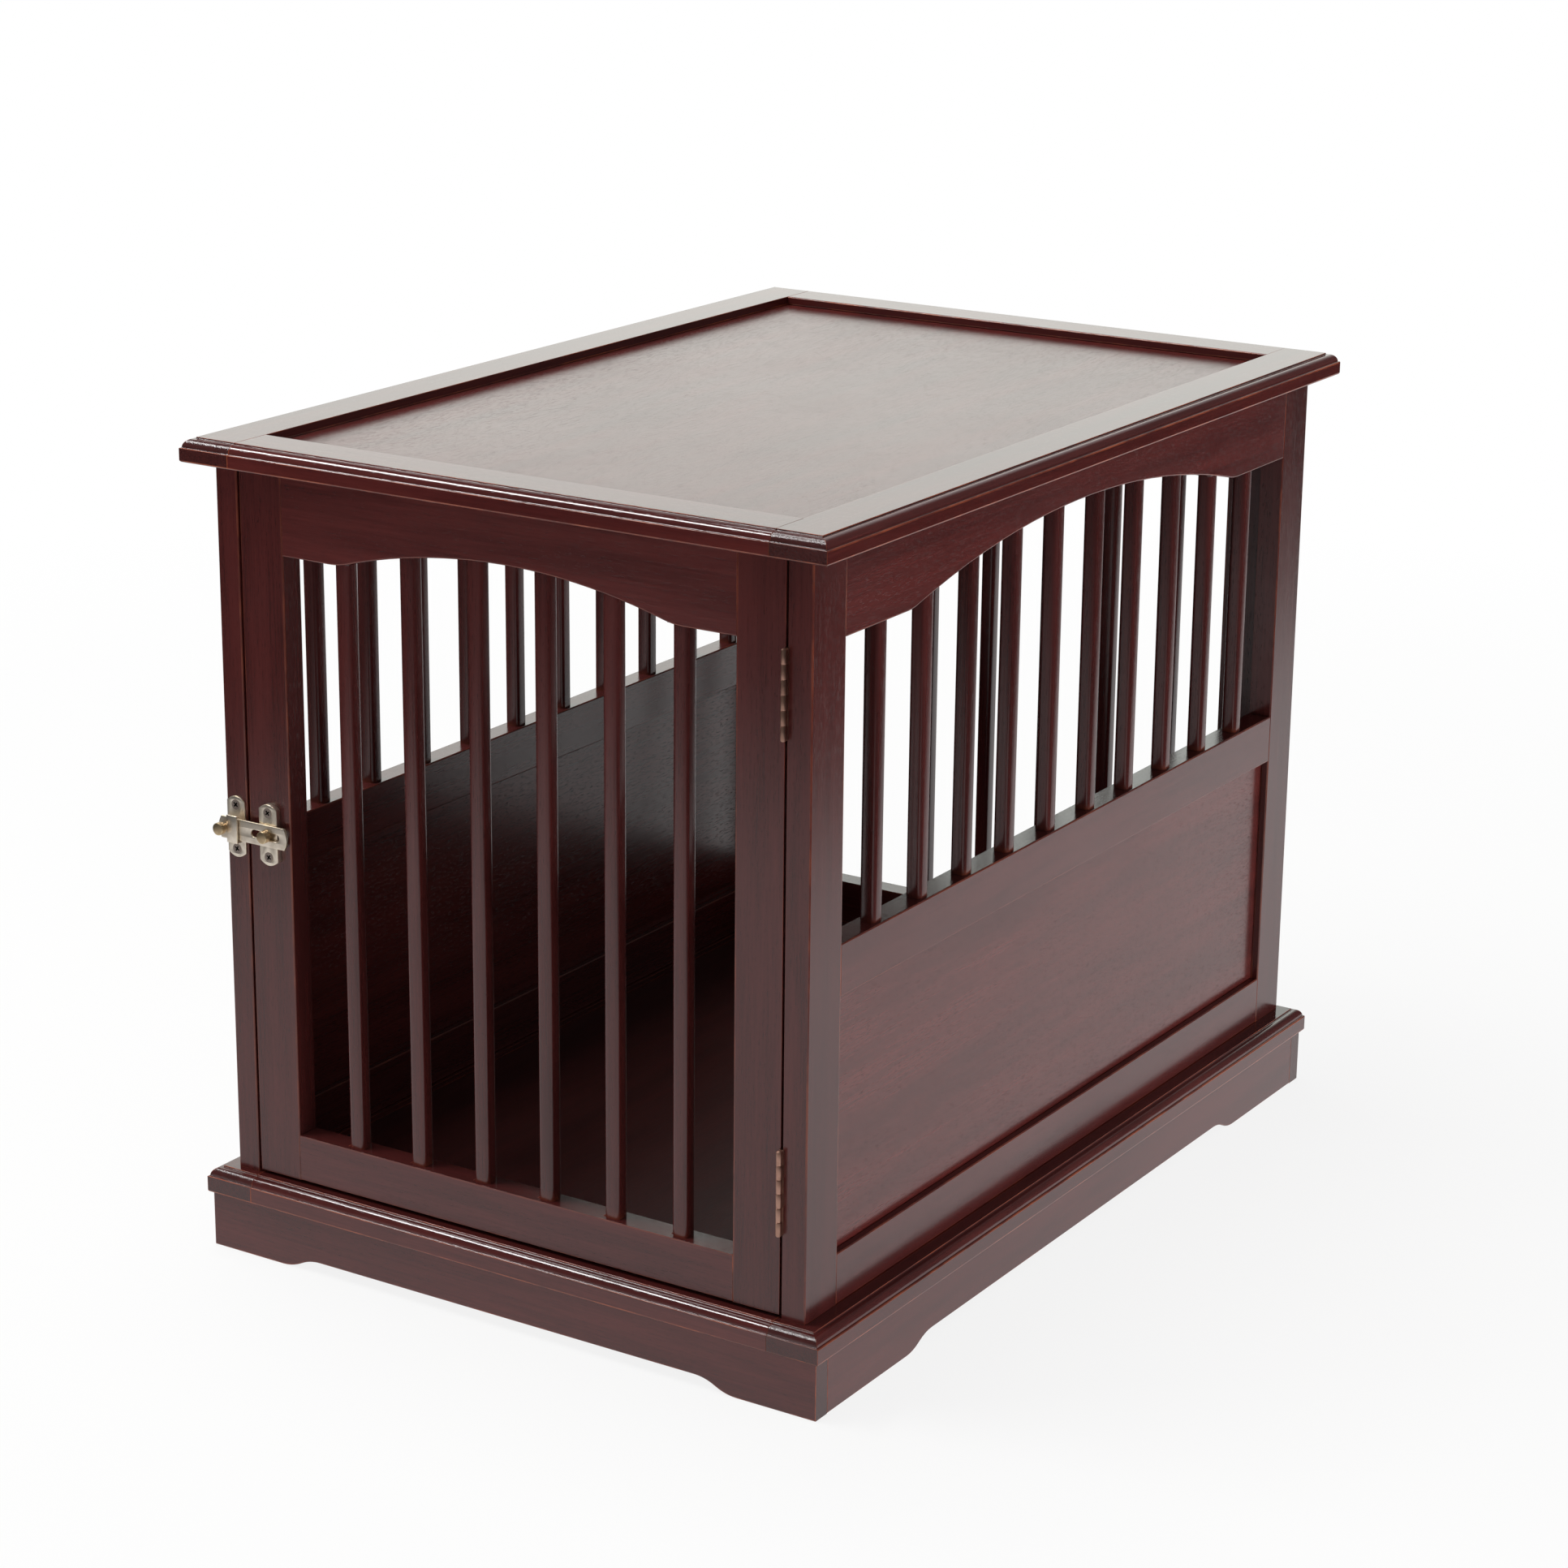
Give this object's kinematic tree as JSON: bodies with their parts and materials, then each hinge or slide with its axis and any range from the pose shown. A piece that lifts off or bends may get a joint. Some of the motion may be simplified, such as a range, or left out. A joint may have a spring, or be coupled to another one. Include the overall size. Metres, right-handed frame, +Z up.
{
  "type": "dog crate end table",
  "caption": "Wooden end table that is also a small pet crate, with spindled sides, a hinged spindled door and a bar latch on a moulded base.",
  "frame": {"origin": "on the floor, under the middle of the table", "axes": "+Z up, +Y along the length towards the rear, with the door at the -Y end; +X to the right seen from the door"},
  "size_m": [0.425, 0.61, 0.488],
  "materials": {
    "lacquered_wood": "dark red-brown satin lacquer over fine straight grain, with rubbed orange-brown edges",
    "lacquered_panel": "dark red-brown satin lacquer over an open-grained veneer panel",
    "dowel_wood": "bare hardwood",
    "antique_brass": "brushed antique brass plate",
    "antique_copper": "aged copper-brown plate",
    "antique_screw": "antique-plated steel",
    "screw_steel": "zinc-plated steel"
  },
  "bodies": {
    "frame": {"base_rail_front": "lacquered_wood", "base_rail_left": "lacquered_wood", "base_rail_rear": "lacquered_wood", "base_rail_right": "lacquered_wood", "base_screws": "screw_steel", "floor_panel": "lacquered_panel", "frame_dowels": "dowel_wood", "hinge_frame_screws": "antique_screw", "hinge_lower_frame_leaf": "antique_copper", "hinge_lower_pin": "antique_copper", "hinge_upper_frame_leaf": "antique_copper", "hinge_upper_pin": "antique_copper", "keeper_plate": "antique_brass", "keeper_screws": "antique_screw", "rear_bottom_rail": "lacquered_wood", "rear_head_rail": "lacquered_wood", "rear_spindles": "lacquered_wood", "rear_stile_left": "lacquered_wood", "rear_stile_right": "lacquered_wood", "side_left_bottom_rail": "lacquered_wood", "side_left_head_rail": "lacquered_wood", "side_left_mid_rail": "lacquered_wood", "side_left_panel": "lacquered_panel", "side_left_spindles": "lacquered_wood", "side_left_stile_front": "lacquered_wood", "side_left_stile_rear": "lacquered_wood", "side_right_bottom_rail": "lacquered_wood", "side_right_head_rail": "lacquered_wood", "side_right_mid_rail": "lacquered_wood", "side_right_panel": "lacquered_panel", "side_right_spindles": "lacquered_wood", "side_right_stile_front": "lacquered_wood", "side_right_stile_rear": "lacquered_wood", "skirt_front": "lacquered_wood", "skirt_left": "lacquered_wood", "skirt_rear": "lacquered_wood", "skirt_right": "lacquered_wood", "top_panel": "lacquered_panel", "top_rail_front": "lacquered_wood", "top_rail_left": "lacquered_wood", "top_rail_rear": "lacquered_wood", "top_rail_right": "lacquered_wood"},
    "door": {"door_bottom_rail": "lacquered_wood", "door_head_rail": "lacquered_wood", "door_spindles": "lacquered_wood", "door_stile_hinge": "lacquered_wood", "door_stile_latch": "lacquered_wood", "hinge_upper_door_leaf": "antique_copper", "hinge_lower_door_leaf": "antique_copper", "hinge_door_screws": "antique_screw", "latch_plate": "antique_brass", "latch_plate_screws": "antique_screw"},
    "latch_stud": {"latch_stud": "antique_brass"},
    "latch_bar": {"latch_bar": "antique_brass", "latch_knob": "antique_brass"}
  },
  "joints": [
    {"name": "door_hinge", "type": "hinge", "parent": "frame", "child": "door", "pos_m": [0.18125, -0.2952, 0.262], "axis": [0, 0, 1], "range_deg": [0, 180]},
    {"name": "latch_lift", "type": "hinge", "parent": "door", "child": "latch_stud", "pos_m": [-0.164, -0.2974, 0.262], "axis": [0, 1, 0], "range_deg": [0, 180]},
    {"name": "latch_slide", "type": "slide", "parent": "latch_stud", "child": "latch_bar", "axis": [1, 0, 0], "range_m": [-0.007, 0.001]}
  ]
}
